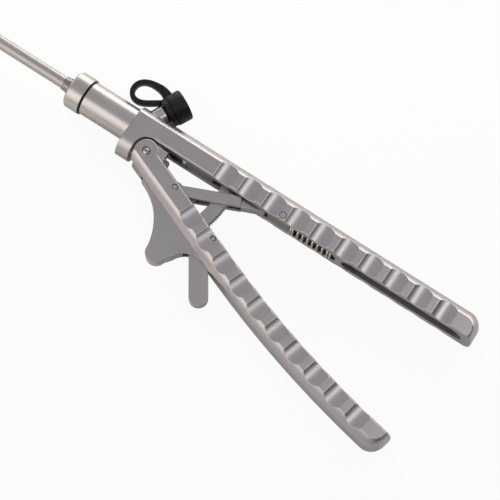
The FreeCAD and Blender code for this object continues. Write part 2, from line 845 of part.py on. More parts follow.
def ratchet_rack():
    """Toothed arc about the hinge, rooted in the upper handle: a pad, one tooth gap and its polar pattern."""
    body = doc.addObject("PartDesign::Body", "ratchet_rack")
    plane = [item for item in body.Origin.OriginFeatures if item.Role == "XY_Plane"][0]
    outer = dim.rack_radius
    pitch = dim.squeeze_angle / dim.teeth_per_squeeze
    latched = dim.squeeze_angle - dim.lever_angle - dim.latched_nose_angle
    first_gap = latched - pitch * (dim.teeth_below_latch + dim.latch_phase)
    corners, inner = rack_corners(first_gap - dim.rack_end)
    section = body_sketch(body, "rack_section", plane, corners, (inner, -1))
    pad = body.newObject("PartDesign::Pad", "rack_pad")
    pad.Profile = section
    pad.Midplane = True
    pad.setExpression("Length", dim.rack_thickness.text)

    tip = outer + dim.tooth_height
    bottom = outer - dim.tooth_height
    end = first_gap + pitch
    gap_sketch = body_sketch(body, "tooth_gap_section", plane, [
        (bottom * cosine(first_gap), bottom * sine(first_gap)),
        (outer * cosine(end), outer * sine(end)),
        (tip * cosine(end), tip * sine(end)),
        (tip * cosine(first_gap), tip * sine(first_gap)),
    ])
    gap = body.newObject("PartDesign::Pocket", "tooth_gap")
    gap.Profile = gap_sketch
    gap.Type = "ThroughAll"
    gap.Midplane = True
    doc.recompute()
    teeth = body.newObject("PartDesign::PolarPattern", "teeth")
    teeth.Originals = [gap]
    teeth.Axis = (gap_sketch, ["N_Axis"])
    teeth.Occurrences = TEETH
    teeth.setExpression("Angle", (pitch * (TEETH - 1)).text)
    body.Tip = teeth
    place(body, (dim.pivot_x, -dim.pivot_drop, 0))


def rack_socket():
    """Solid that mills the rack's seat into the upper handle."""
    corners, inner = rack_corners(as_size(0))
    corners[0] = corners[0] + (inner, -1)
    return place(plate("rack_socket", corners, dim.rack_thickness / 2), (dim.pivot_x, -dim.pivot_drop, 0))


def body_sketch(body, name, plane, corners, closing=None):
    """Outline inside a body, on one of its origin planes; closing gives an arc back to the first corner."""
    if closing:
        first = corners[0]
        corners = [(first[0], first[1], closing[0], closing[1])] + corners[1:]
    sketch = outline(name, corners)
    body.addObject(sketch)
    sketch.AttachmentSupport = [(plane, "")]
    sketch.MapMode = "FlatFace"
    return sketch


def slider():
    """Yoke in the channel: nose block, top web, two cheeks round the link's eye, and a slotted tail."""
    side = dim.channel_half - dim.slider_gap
    floor = -dim.slider_floor
    top = dim.slider_top
    front = dim.slider_front
    pin_x = slider_pin_x()
    tail = pin_x + dim.slider_tail
    fork = dim.eye_half + dim.side_gap
    blank = fuse("slider_blank", [
        box("slider_nose", (front, floor, -side), (front + dim.slider_nose_length, top, side)),
        box("slider_web_bar", (front, dim.slider_web, -side), (tail, top, side)),
        plate("slider_cheeks", [
            (tail, floor),
            (tail, top),
            (pin_x - dim.cheek_front, top),
            (pin_x - dim.cheek_front, floor + dim.cheek_front),
            (pin_x, floor, dim.cheek_front, 1),
        ], side),
    ])
    guide = dim.guide_pin_radius + dim.hinge_fit
    guide_x = guide_pin_x()
    rack_slot = dim.rack_thickness / 2 + dim.rack_gap
    inner = dim.rack_radius - dim.rack_band
    rise = top + dim.pivot_drop
    rack_back = dim.pivot_x + root(inner * inner - rise * rise) - dim.slide_travel - dim.rack_gap
    tools = [
        box("slider_rack_slot", (rack_back, floor - OVERCUT, -rack_slot),
            (dim.pivot_x + dim.rack_radius + dim.rack_gap, top + OVERCUT, rack_slot)),
        box("slider_fork", (front + dim.slider_nose_length, floor - OVERCUT, -fork),
            (pin_x + dim.eye_radius + dim.eye_gap, dim.slider_web, fork)),
        disc("slider_pin_bore", (pin_x, 0), dim.slider_pin_radius, dim.bar_radius),
        capsule("slider_guide_slot", (guide_x - dim.slide_travel, as_size(0)), (guide_x, as_size(0)), guide,
                dim.bar_radius),
        cylinder("slider_rod_bore", dim.rod_radius, dim.rod_seat, (front, 0, 0), ALONG_X),
        cylinder("slider_guide_bore", dim.spring_guide_radius, dim.spring_guide_seat,
                 (tail - dim.spring_guide_seat, dim.spring_rise, 0), ALONG_X),
    ]
    cut("slider", blank, tools)
    disc("slider_pin", (pin_x, 0), dim.slider_pin_radius, side)
    cylinder("spring_guide", dim.spring_guide_radius, dim.spring_guide_length + dim.spring_guide_seat,
             (tail - dim.spring_guide_seat, dim.spring_rise, 0), ALONG_X)
    return tail


def return_spring(tail):
    """Compression spring between the slider's tail and the end of the channel."""
    start = tail.value + dim.spring_wire.value
    end = (dim.channel_start + dim.channel_length - dim.spring_end_gap - dim.spring_wire).value
    wire = dim.spring_wire.value
    coil = dim.spring_radius.value - wire
    turns = dim.spring_turns.value
    steps = int(turns * SPRING_STEPS)
    points = []
    for step in range(steps + 1):
        angle = 2 * math.pi * step / SPRING_STEPS
        rise = (end - start) * step / steps
        points.append(FreeCAD.Vector(coil * math.cos(angle), coil * math.sin(angle), rise))
    ahead = (points[1] - points[0]).normalize()
    across = FreeCAD.Vector(1, 0, 0)
    across = (across - ahead * across.dot(ahead)).normalize()
    other = ahead.cross(across)
    corners = []
    for number in range(WIRE_SIDES + 1):
        angle = 2 * math.pi * number / WIRE_SIDES
        corners.append(points[0] + across * (wire * math.cos(angle)) + other * (wire * math.sin(angle)))
    path = Part.makePolygon(points)
    spring = doc.addObject("Part::Feature", "return_spring")
    spring.Shape = path.makePipeShell([Part.makePolygon(corners)], True, True, MITRED)
    spring.Placement = FreeCAD.Placement(FreeCAD.Vector(start, dim.spring_rise.value, 0), ALONG_X)


def finger_rest():
    """Plate in the lower handle's outer slot, hollowed in front for a finger and slit for the rack."""
    radius = dim.rest_tip_radius
    tip = (dim.rest_tip_along, -dim.rest_tip_down)
    edge = dim.lever_rise - dim.bar_radius
    front = dim.rest_front_turn
    rear = dim.rest_rear_turn
    blank = plate("rest_plate", [
        (dim.rest_front_along, edge - dim.rest_front_step),
        (tip[0] - radius * cosine(front), tip[1] - radius * sine(front), dim.rest_front_bow, -1),
        (tip[0] + radius * cosine(rear), tip[1] + radius * sine(rear), radius, 1),
        (tip[0] + radius * cosine(rear) + dim.rest_rear_step,
         tip[1] + radius * sine(rear) + dim.rest_rear_rise),
        (dim.rest_rear_along, edge + dim.rest_rear_sink, dim.rest_rear_bow, -1),
        (dim.rest_rear_along, -dim.slot_floor - dim.side_gap),
        (dim.rest_front_along, -dim.slot_floor - dim.side_gap),
    ], dim.rest_thickness / 2)
    slit = dim.rack_thickness / 2 + dim.rack_gap
    tools = [
        box("rest_slit", (dim.rest_slit_start, edge - dim.rest_slit_depth, -slit),
            (dim.rest_rear_along + OVERCUT, 0, slit)),
    ]
    on_lever(cut("finger_rest", blank, tools))


def release_trigger():
    """Bar under the handle with a hub on the trigger pin and a pawl nose over the rack's teeth."""
    half = dim.trigger_thickness / 2
    hub = (dim.trigger_pin_along, dim.trigger_pin_up)
    knee = (dim.trigger_knee_along, -dim.trigger_knee_down)
    end = (dim.trigger_end_along, -dim.trigger_end_down)
    reach = dim.rack_radius + dim.nose_gap
    direction = -dim.nose_angle
    tip = (reach * cosine(direction), reach * sine(direction))
    half_tip = dim.nose_tip / 2
    blank = fuse("trigger_blank", [
        capsule("trigger_bar_plate", knee, end, dim.trigger_bar, half),
        capsule("trigger_web", hub, knee, dim.trigger_hub, half),
        disc("trigger_hub_disc", hub, dim.trigger_hub, dim.tongue_half),
        plate("pawl_nose", [
            (tip[0], tip[1] + half_tip),
            (tip[0], tip[1] - half_tip),
            (tip[0] + dim.nose_flank, tip[1] - half_tip - dim.nose_relief),
            (knee[0], knee[1] - dim.trigger_hub),
            (knee[0], knee[1] + dim.trigger_hub * 2),
            (tip[0] + dim.nose_flank, tip[1] + half_tip + dim.nose_flank),
        ], half),
    ])
    tools = [disc("trigger_bore", hub, dim.trigger_pin_radius + dim.hinge_fit, dim.bar_radius)]
    on_lever(cut("release_trigger", blank, tools))


def port_frame(piece):
    """Carry a piece turned about X to the flush port, leaning back from the upright."""
    angle = 90 - dim.port_lean
    return turn_about_z(piece, (dim.port_foot_x, 0, 0), angle)


def flush_port():
    """Metal port with a bore, base and lip, its rubber cap, and the drill that seats it."""
    base = dim.port_base_start
    port_frame(turned("flush_port", [
        (base, dim.port_bore),
        (dim.port_end, dim.port_bore),
        (dim.port_end, dim.port_lip_radius),
        (dim.port_end - dim.port_lip, dim.port_lip_radius),
        (dim.port_end - dim.port_lip * 2, dim.port_radius),
        (dim.port_base_end, dim.port_radius),
        (dim.port_base_end, dim.port_base_radius - dim.port_base_chamfer),
        (dim.port_base_end - dim.port_base_chamfer, dim.port_base_radius),
        (base, dim.port_base_radius),
    ]))
    start = dim.cap_start
    end = start + dim.cap_length
    roof = start + dim.cap_depth
    port_frame(turned("port_cap", [
        (roof - dim.plug_depth, 0),
        (end, 0),
        (end, dim.cap_radius - dim.cap_round),
        (end - dim.cap_round, dim.cap_radius),
        (start, dim.cap_radius),
        (start, dim.cap_inner),
        (roof, dim.cap_inner),
        (roof, dim.cap_plug),
        (roof - dim.plug_depth, dim.cap_plug),
    ]))
    drill = fuse("port_drill", [
        cylinder("port_seat", dim.port_base_radius, dim.bar_radius * 2, (base, 0, 0), ALONG_X),
        cylinder("port_channel", dim.port_bore, base, (0, 0, 0), ALONG_X),
    ])
    return port_frame(drill)


def port_spot(along, out):
    """Point of the flush port's frame, in the row's frame; out is measured towards the jaws."""
    lean = 90 - dim.port_lean
    return (dim.port_foot_x + along * cosine(lean) - out * sine(lean),
            along * sine(lean) + out * cosine(lean))


def cap_tether():
    """Rubber ring on the port's neck, and the strap that loops from it to the cap."""
    ring_start = dim.port_base_end + dim.ring_end_gap
    ring_end = dim.cap_start - dim.ring_end_gap
    port_frame(turned("tether_ring", [
        (ring_start, dim.port_radius + dim.ring_fit),
        (ring_end, dim.port_radius + dim.ring_fit),
        (ring_end, dim.ring_outer),
        (ring_start, dim.ring_outer),
    ]))
    radius = dim.tether_radius
    half_thickness = dim.tether_thickness / 2
    outer = radius + half_thickness
    inner = radius - half_thickness
    loop = (dim.tether_centre_x, dim.tether_centre_y)
    top = dim.tether_top_angle
    low = dim.tether_low_angle
    beside_ring = dim.ring_outer + dim.tether_fit
    under_ring = ring_start - dim.tether_fit
    seat = dim.cap_start + dim.tether_seat
    beside_cap = dim.cap_radius + dim.tether_fit
    plate("cap_tether", [
        port_spot(ring_end, beside_ring),
        (loop[0] + inner * cosine(low), loop[1] - inner * sine(low)),
        (loop[0] - inner, loop[1], inner, -1),
        (loop[0] + inner * cosine(top), loop[1] + inner * sine(top), inner, -1),
        port_spot(seat - dim.tether_flare, beside_cap),
        port_spot(seat + dim.tether_flare, beside_cap),
        (loop[0] + outer * cosine(top), loop[1] + outer * sine(top)),
        (loop[0] - outer, loop[1], outer, 1),
        (loop[0] + outer * cosine(low), loop[1] - outer * sine(low), outer, 1),
        port_spot(under_ring, dim.ring_outer - dim.tether_hook),
        port_spot(under_ring, beside_ring),
    ], dim.tether_width / 2)


def jaw_pivot():
    return (dim.jaw_length - dim.working_length, dim.jaw_pivot_up)


def jaws():
    """Fixed jaw with its clevis, moving jaw with its tail, inserts and pins."""
    pivot = jaw_pivot()
    tip_x = -dim.working_length
    radius = dim.jaw_radius
    tube_bore = dim.shaft_radius - dim.shaft_wall
    back = pivot[0] + dim.clevis_back
    socket_end = back + dim.socket_length
    gap = dim.bite_gap
    taper = dim.jaw_tip_taper
    blank = turned("fixed_jaw_round", [
        (tip_x, 0),
        (socket_end, 0),
        (socket_end, tube_bore),
        (back, tube_bore),
        (back, radius),
        (tip_x + taper, radius),
        (tip_x, radius - taper),
    ])
    clevis_front = pivot[0] - dim.clevis_nose
    wide = radius * 2
    insert_start = taper / 2
    insert_end = insert_start + dim.insert_length
    fork_slot = dim.clevis_half
    seat = -gap - dim.insert_thickness
    slot_back = back - dim.clevis_wall
    cut("fixed_jaw", blank, [
        box("bite_space", (tip_x - OVERCUT, -gap, -wide), (clevis_front, wide, wide)),
        box("clevis_slot", (clevis_front - dim.clevis_run_out, -wide, -fork_slot),
            (slot_back, wide, fork_slot)),
        cylinder("jaw_rod_bore", dim.rod_radius + dim.jaw_rod_gap, dim.clevis_wall * 2 + dim.socket_length,
                 (slot_back - dim.clevis_wall, 0, 0), ALONG_X),
        box("fixed_insert_seat", (tip_x + insert_start, seat, -dim.insert_half),
            (tip_x + insert_end, 0, dim.insert_half)),
        disc("jaw_pivot_hole", pivot, dim.jaw_pivot_radius, wide),
    ])
    box("fixed_insert", (tip_x + insert_start, seat, -dim.insert_half),
        (tip_x + insert_end, -gap, dim.insert_half))

    reach = dim.jaw_length
    rise = dim.jaw_pivot_up
    bite = gap - rise
    shut_round = turned("moving_jaw_round", [
        (-reach, 0),
        (0, 0),
        (0, radius),
        (taper - reach, radius),
        (-reach, radius - taper),
    ])
    place(shut_round, (0, -rise, 0))
    upper = common("moving_jaw_half", shut_round,
                   box("moving_jaw_window", (-reach, bite, -wide), (-dim.jaw_rear, wide, wide)))
    cheek = dim.clevis_half - dim.tail_gap
    arm = dim.drive_arm
    hub = dim.jaw_hub
    lean = dim.jaw_open_angle / 2
    drive = (arm * sine(lean), -arm * cosine(lean))
    root_end = -dim.jaw_rear - dim.rear_lap
    tail = fuse("moving_jaw_tail", [
        capsule("tail_arm", (as_size(0), as_size(0)), drive, hub, cheek),
        plate("tail_root", [
            (root_end, bite),
            (0, -hub),
            (0, hub),
            (root_end, hub),
        ], cheek),
    ])
    tang_half = dim.tang_half + dim.tail_gap
    tang_slot = cut("tang_slot", fuse("tang_sweep", [
        box("tang_sweep_below", (-arm / 2, -wide, -tang_half), (wide, -hub, tang_half)),
        box("tang_sweep_behind", (0, -wide, -tang_half), (wide, wide, tang_half)),
    ]), [disc("tang_hub", (0, 0), hub, wide)])
    moving = cut("moving_jaw", fuse("moving_jaw_blank", [upper, tail]), [
        tang_slot,
        disc("moving_pivot_bore", (0, 0), dim.jaw_pivot_radius + dim.jaw_pivot_fit, wide),
        disc("drive_pin_bore", drive, dim.drive_pin_radius, wide),
        box("moving_insert_seat", (insert_start - reach, bite - OVERCUT, -dim.insert_half),
            (insert_end - reach, bite + dim.insert_thickness, dim.insert_half)),
    ])
    turn_about_z(moving, (pivot[0], pivot[1], 0), -dim.jaw_open_angle)
    insert = box("moving_insert", (0, 0, 0), (dim.insert_length, dim.insert_thickness, dim.insert_half * 2))
    on_open_jaw(insert, (insert_start - reach, bite, -dim.insert_half))
    on_open_jaw(disc("jaw_drive_pin", drive, dim.drive_pin_radius, cheek), (drive[0], drive[1], -cheek))
    disc("jaw_pivot_pin", pivot, dim.jaw_pivot_radius, radius - dim.pin_inset)
    return back


def on_open_jaw(piece, spot):
    """Put a piece at a spot of the shut jaw's frame, then swing it open about the jaw's pivot."""
    angle = -dim.jaw_open_angle
    pivot = jaw_pivot()
    swung = (pivot[0] + spot[0] * cosine(angle) - spot[1] * sine(angle),
             pivot[1] + spot[0] * sine(angle) + spot[1] * cosine(angle),
             spot[2])
    return turn_about_z(piece, swung, angle)


def shaft_and_rod(back):
    """Outer tube, and the push rod from the slider to its slotted tang in the jaw."""
    flange_end = dim.cone_length + dim.collar_front_wall + dim.flange_thickness
    inner = dim.shaft_radius - dim.shaft_wall
    turned("shaft_tube", [
        (back, inner),
        (flange_end, inner),
        (flange_end, dim.shaft_spigot_radius),
        (0, dim.shaft_spigot_radius),
        (0, dim.shaft_radius),
        (back, dim.shaft_radius),
    ])
    pivot = jaw_pivot()
    lean = dim.jaw_open_angle / 2
    swing = dim.drive_arm * sine(lean)
    slot_radius = dim.drive_pin_radius + dim.drive_fit
    tang_front = pivot[0] - swing - slot_radius - dim.tang_nose
    rod_start = pivot[0] + dim.tang_back
    rod_end = dim.slider_front + dim.rod_seat
    rod = cylinder("rod_round", dim.rod_radius, rod_end - rod_start, (rod_start, 0, 0), ALONG_X)
    high = pivot[1] - dim.drive_arm * cosine(lean)
    low = pivot[1] - dim.drive_arm
    tang = box("rod_tang", (tang_front, low - slot_radius - dim.tang_foot, -dim.tang_half),
               (rod_start + OVERCUT, pivot[1] - dim.jaw_hub - dim.tang_gap, dim.tang_half))
    slot = capsule("tang_drive_slot", (pivot[0] - swing, low), (pivot[0] - swing, high), slot_radius,
                   dim.bar_radius)
    cut("push_rod", fuse("rod_blank", [rod, tang]), [slot])
    nut = doc.addObject("Part::Prism", "nut_blank")
    nut.Polygon = 6
    nut.setExpression("Circumradius", dim.nut_radius.text)
    nut.setExpression("Height", dim.nut_length.text)
    place(nut, (dim.slider_front - dim.nut_length, 0, 0), ALONG_X)
    cut("rod_nut", nut, [cylinder("nut_bore", dim.rod_radius, dim.nut_length * 3,
                                  (dim.slider_front - dim.nut_length * 2, 0, 0), ALONG_X)])


FLUTES = int(dim.flute_count.value)
TEETH = int(dim.tooth_count.value)
NODES = [
    "collar_nut", "seal_ring", "shaft_ferrule", "barrel", "upper_handle", "guide_pin", "lower_handle",
    "hinge_screw", "link_pin", "trigger_pin", "link", "ratchet_rack", "slider", "slider_pin",
    "spring_guide", "return_spring", "finger_rest", "release_trigger", "flush_port", "port_cap",
    "tether_ring", "cap_tether", "fixed_jaw", "fixed_insert", "moving_jaw", "moving_insert",
    "jaw_drive_pin", "jaw_pivot_pin", "shaft_tube", "push_rod", "rod_nut",
]


def main():
    body_front = barrel_and_collar()
    upper_handle(body_front, flush_port())
    lower_handle()
    pins()
    link()
    ratchet_rack()
    return_spring(slider())
    finger_rest()
    release_trigger()
    cap_tether()
    shaft_and_rod(jaws())
    doc.recompute()
    for piece in doc.Objects:
        if "Invalid" in piece.State or "Error" in piece.State:
            raise RuntimeError(f"{piece.Label} failed to compute: {piece.State}")
    os.makedirs("parts", exist_ok=True)
    for name in NODES:
        shape = doc.getObject(name).Shape
        if shape.isNull() or not shape.isValid() or not shape.Solids:
            raise RuntimeError(f"{name} has no valid solid")
        shape.exportStep(f"parts/{name}.step")


main()
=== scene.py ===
import math

import bmesh
import bpy
from mathutils import Matrix, Vector


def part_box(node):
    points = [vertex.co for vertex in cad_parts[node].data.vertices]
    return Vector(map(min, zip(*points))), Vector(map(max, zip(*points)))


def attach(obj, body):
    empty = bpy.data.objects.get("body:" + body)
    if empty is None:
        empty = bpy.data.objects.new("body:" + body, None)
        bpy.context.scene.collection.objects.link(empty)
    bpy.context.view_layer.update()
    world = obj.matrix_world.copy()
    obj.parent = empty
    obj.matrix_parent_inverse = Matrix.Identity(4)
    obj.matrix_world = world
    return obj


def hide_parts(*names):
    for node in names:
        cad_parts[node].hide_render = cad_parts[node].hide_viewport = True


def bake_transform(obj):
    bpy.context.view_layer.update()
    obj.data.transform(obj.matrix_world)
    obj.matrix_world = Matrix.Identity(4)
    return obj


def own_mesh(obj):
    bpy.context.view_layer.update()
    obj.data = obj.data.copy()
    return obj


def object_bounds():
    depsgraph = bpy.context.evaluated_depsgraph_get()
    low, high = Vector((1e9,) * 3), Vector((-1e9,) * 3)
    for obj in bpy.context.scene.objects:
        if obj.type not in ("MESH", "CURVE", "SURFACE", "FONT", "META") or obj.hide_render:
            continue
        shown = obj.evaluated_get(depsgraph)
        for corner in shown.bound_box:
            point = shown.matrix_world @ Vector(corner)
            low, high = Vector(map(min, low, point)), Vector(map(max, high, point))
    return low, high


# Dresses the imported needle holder. Lengths are in metres, unless a docstring says millimetres.
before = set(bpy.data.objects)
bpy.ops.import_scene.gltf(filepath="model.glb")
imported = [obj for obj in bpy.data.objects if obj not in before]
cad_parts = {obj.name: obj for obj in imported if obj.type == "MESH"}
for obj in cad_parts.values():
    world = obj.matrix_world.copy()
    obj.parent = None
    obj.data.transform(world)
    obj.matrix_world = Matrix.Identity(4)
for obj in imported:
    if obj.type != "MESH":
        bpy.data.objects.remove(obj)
CAD_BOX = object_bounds()
SCENE = bpy.context.scene
SCENE.view_settings.view_transform = "Standard"

MM = 0.001
X_AXIS = Vector((1, 0, 0))
Z_AXIS = Vector((0, 0, 1))

# The flush port leans towards the handle's end.
PORT_LEAN = math.radians(26.7)
PORT_FOOT = Vector((33.9, 0, 0)) * MM
PORT_AXIS = Vector((math.sin(PORT_LEAN), math.cos(PORT_LEAN), 0))

# The metals' fine grain has this share in a blend with clouds, which drives colour and roughness.
GRAIN_SHARE = 0.6
CLOUD_SIZE = 0.012
COLOUR_SPREAD = 0.05
ROUGHNESS_SPREAD = 0.06
# A bump's depth against the size of its grain.
BUMP_SHARE = 0.4
# Painted shade darkens recesses narrower than its reach, down to this share of the metal's tint.
RECESS_SHADE_REACH = 0.009
RECESS_SHADE_SHARE = 0.3
OCCLUSION_SAMPLES = 8
BEVEL_SAMPLES = 6
# The most of an edge that a rounded corner takes up.
CORNER_SHARE = 0.45


def set_range(node, low_in, high_in, low_out, high_out):
    """Set the four limits of a Map Range node."""
    limits = {"From Min": low_in, "From Max": high_in, "To Min": low_out, "To Max": high_out}
    for name, value in limits.items():
        node.inputs[name].default_value = value


class Look:
    """A procedural material being wired up around one principled shader."""

    def __init__(self, name):
        self.material = bpy.data.materials.new(name)
        self.material.use_nodes = True
        self.tree = self.material.node_tree
        self.shader = self.tree.nodes["Principled BSDF"]
        self.object_space = self.add("ShaderNodeTexCoord").outputs["Object"]

    def add(self, kind, **settings):
        node = self.tree.nodes.new(kind)
        for name, value in settings.items():
            setattr(node, name, value)
        return node

    def link(self, source, target):
        self.tree.links.new(source, target)

    def drive(self, name, source):
        """Let a node's output set one of the shader's inputs."""
        self.link(source, self.shader.inputs[name])

    def fix(self, name, value):
        """Set one of the shader's inputs to the same value all over."""
        self.shader.inputs[name].default_value = value

    def noise(self, size, stretch=(1, 1, 1), detail=2.0, rough=0.5):
        """Noise of one grain size, made longer along an axis by stretch."""
        mapping = self.add("ShaderNodeMapping")
        mapping.inputs["Scale"].default_value = [1 / (size * part) for part in stretch]
        self.link(self.object_space, mapping.inputs["Vector"])
        noise = self.add("ShaderNodeTexNoise")
        noise.inputs["Scale"].default_value = 1.0
        noise.inputs["Detail"].default_value = detail
        noise.inputs["Roughness"].default_value = rough
        self.link(mapping.outputs["Vector"], noise.inputs["Vector"])
        return noise.outputs["Fac"]

    def between(self, factor, low, high, start=0.3, end=0.7):
        """Map start to end, by default the range that noise keeps to, to low to high."""
        spread = self.add("ShaderNodeMapRange")
        set_range(spread, start, end, low, high)
        self.link(factor, spread.inputs["Value"])
        return spread.outputs["Result"]

    def colours(self, factor, stops):
        """Colour ramp over a factor, from two (position, colour) stops."""
        ramp = self.add("ShaderNodeValToRGB")
        for element, (position, colour) in zip(ramp.color_ramp.elements, stops):
            element.position = position
            element.color = (*colour, 1)
        self.link(factor, ramp.inputs["Fac"])
        return ramp.outputs["Color"]

    def sine(self, pitch, direction):
        """Sine wave through object space, of one pitch along a direction."""
        along = self.add("ShaderNodeVectorMath", operation="DOT_PRODUCT")
        along.inputs[1].default_value = [part * 2 * math.pi / pitch for part in direction]
        self.link(self.object_space, along.inputs[0])
        wave = self.add("ShaderNodeMath", operation="SINE")
        self.link(along.outputs["Value"], wave.inputs[0])
        return wave.outputs[0]

    def cross_cut(self, pitch, *directions):
        """Product of two sine waves: the rows of small pyramids that crossing cuts leave."""
        both = self.add("ShaderNodeMath", operation="MULTIPLY")
        for number, direction in enumerate(directions):
            self.link(self.sine(pitch, direction), both.inputs[number])
        return both.outputs[0]

    def painted_recess_shade(self, colour, dark, local):
        """Paint shade into a colour in narrow recesses, only in the piece's own ones if local."""
        hollow = self.add("ShaderNodeAmbientOcclusion", samples=OCCLUSION_SAMPLES, only_local=local)
        hollow.inputs["Distance"].default_value = RECESS_SHADE_REACH
        soft = self.between(hollow.outputs["AO"], low=1.0, high=0.0, start=0.15, end=0.75)
        mix = self.add("ShaderNodeMix", data_type="RGBA")
        self.link(soft, mix.inputs["Factor"])
        self.link(colour, mix.inputs["A"])
        mix.inputs["B"].default_value = (*dark, 1)
        return mix.outputs["Result"]

    def bumps(self, layers, edge):
        """Chain of (factor, strength, distance) bumps, over edges that look rounded by a radius."""
        normal = None
        if edge:
            bevel = self.add("ShaderNodeBevel", samples=BEVEL_SAMPLES)
            bevel.inputs["Radius"].default_value = edge
            normal = bevel.outputs["Normal"]
        for factor, strength, distance in layers:
            bump = self.add("ShaderNodeBump")
            bump.inputs["Strength"].default_value = strength
            bump.inputs["Distance"].default_value = distance
            self.link(factor, bump.inputs["Height"])
            if normal:
                self.link(normal, bump.inputs["Normal"])
            normal = bump.outputs["Normal"]
        self.drive("Normal", normal)


def scaled(colour, share):
    """Colour made darker or lighter by a share, kept within what white allows."""
    return tuple(min(part * share, 1) for part in colour)


def metal(name, tint, rough, grain, stretch=(1, 1, 1), edge=0.00025, strength=0.25, cuts=None,
          sunk=False):
    """Metal with its grain in colour, roughness and bump, softly broken edges, old polish, and
    painted shade darkening its recesses.

    cuts is a cross-cut pattern: its pitch, its depth and the two directions across the cuts.
    A sunk piece sits in another's slot, whose walls also add painted shade to it.
    """
    look = Look(name)
    fine = look.noise(grain, stretch, detail=3.0)
    cloud = look.noise(CLOUD_SIZE, detail=3.0, rough=0.6)
    mixed = look.add("ShaderNodeMath", operation="ADD")
    look.link(look.between(fine, 0, GRAIN_SHARE), mixed.inputs[0])
    look.link(look.between(cloud, 0, 1 - GRAIN_SHARE), mixed.inputs[1])
    blend = mixed.outputs[0]
    low, high = scaled(tint, 1 - COLOUR_SPREAD), scaled(tint, 1 + COLOUR_SPREAD)
    colour = look.colours(blend, [(0.1, low), (0.9, high)])
    # Base colour with painted shade: darker wherever occlusion finds a recess.
    look.drive("Base Color", look.painted_recess_shade(colour, scaled(tint, RECESS_SHADE_SHARE), not sunk))
    roughness = look.between(blend, rough - ROUGHNESS_SPREAD, rough + ROUGHNESS_SPREAD, 0, 1)
    look.drive("Roughness", roughness)
    layers = [(fine, strength, grain * BUMP_SHARE)]
    if cuts:
        pitch, depth, *directions = cuts
        layers.append((look.cross_cut(pitch, *directions), 1.0, depth))
    look.bumps(layers, edge)
    look.fix("Metallic", 1.0)
    return look.material


def rubber(name, tint):
    """Moulded black rubber with a fine dull grain and faint clouds."""
    look = Look(name)
    grain = look.noise(size=0.0003, detail=4.0, rough=0.7)
    cloud = look.noise(size=0.006)
    colour = look.colours(cloud, [(0.3, scaled(tint, 0.75)), (0.7, scaled(tint, 1.35))])
    look.drive("Base Color", colour)
    look.drive("Roughness", look.between(grain, low=0.38, high=0.55))
    look.bumps([(grain, 0.2, 0.00008)], edge=0.0003)
    look.fix("Metallic", 0.0)
    look.fix("Specular IOR Level", 0.35)
    return look.material


SATIN = metal("blasted_steel", (0.61, 0.57, 0.58), 0.34, 0.00022, edge=0.0006, strength=0.05)
# Milled steel for the parts inside the channel. Its tint is set darker than the handle's steel as
# painted shade.
SHADED_INNER = metal("milled_steel_painted_shade", (0.40, 0.36, 0.34), 0.34, 0.00015, (8, 1, 1), sunk=True)
TURNED = metal("turned_steel", (0.66, 0.62, 0.60), 0.32, 0.00012, (1, 12, 12), strength=0.04)
GROOVED = metal("grooved_steel", (0.55, 0.52, 0.50), 0.34, 0.0004, (1, 12, 12), edge=0,
                strength=0.01)
BRIGHT = metal("polished_steel", (0.68, 0.66, 0.65), 0.22, 0.0001, edge=0.00012, strength=0.06)
SHAFT = metal("drawn_steel", (0.60, 0.56, 0.54), 0.44, 0.0008, (40, 1, 1), edge=0,
              strength=0.004)
JAWS = metal("ground_steel", (0.64, 0.60, 0.58), 0.34, 0.0002, edge=0.0001, strength=0.02)
WIRE = metal("spring_wire", (0.78, 0.73, 0.70), 0.26, 0.0002, edge=0.00001, strength=0.04)
CARBIDE = metal("ground_carbide", (0.36, 0.35, 0.35), 0.38, 0.00008, edge=0.00008,
                cuts=(0.0005, 0.00012, (0.8, 0, 0.6), (0.8, 0, -0.6)))
RUBBER = rubber("black_rubber", (0.005, 0.005, 0.008))

DRESS = (
    (SATIN, ("upper_handle", "lower_handle", "finger_rest", "release_trigger", "link",
             "ratchet_rack")),
    (SHADED_INNER, ("slider", "rod_nut", "push_rod")),
    (TURNED, ("barrel", "collar_nut")),
    (GROOVED, ("shaft_ferrule",)),
    (BRIGHT, ("hinge_screw", "link_pin", "trigger_pin", "guide_pin", "slider_pin", "flush_port",
              "jaw_drive_pin", "jaw_pivot_pin")),
    (SHAFT, ("shaft_tube",)),
    (JAWS, ("fixed_jaw", "moving_jaw")),
    (WIRE, ("spring_guide", "return_spring")),
    (CARBIDE, ("fixed_insert", "moving_insert")),
    (RUBBER, ("seal_ring", "port_cap", "tether_ring", "cap_tether")),
)


def dress():
    """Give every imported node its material."""
    for material, names in DRESS:
        for name in names:
            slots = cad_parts[name].data.materials
            slots.clear()
            slots.append(material)


def mesh_object(name, vertices, faces, material, smooth):
    mesh = bpy.data.meshes.new(name)
    mesh.from_pydata([tuple(vertex) for vertex in vertices], [], faces)
    mesh.update()
    for polygon in mesh.polygons:
        polygon.use_smooth = smooth
    piece = bpy.data.objects.new(name, mesh)
    SCENE.collection.objects.link(piece)
    mesh.materials.append(material)
    return piece


def loft(name, rings, material, closed=False, smooth=True):
    """Skin over rings of points, joined into a loop or capped at both ends."""
    count = len(rings[0])
    vertices = [point for ring in rings for point in ring]
    faces = []
    for row in range(len(rings) if closed else len(rings) - 1):
        here = row * count
        there = (row + 1) % len(rings) * count
        for column in range(count):
            step = (column + 1) % count
            faces.append((here + column, here + step, there + step, there + column))
    if not closed:
        faces.append(tuple(reversed(range(count))))
        faces.append(tuple(range(len(vertices) - count, len(vertices))))
    piece = mesh_object(name, vertices, faces, material, smooth)
    outward = bmesh.new()
    outward.from_mesh(piece.data)
    bmesh.ops.recalc_face_normals(outward, faces=outward.faces)
    outward.to_mesh(piece.data)
    outward.free()
    return piece


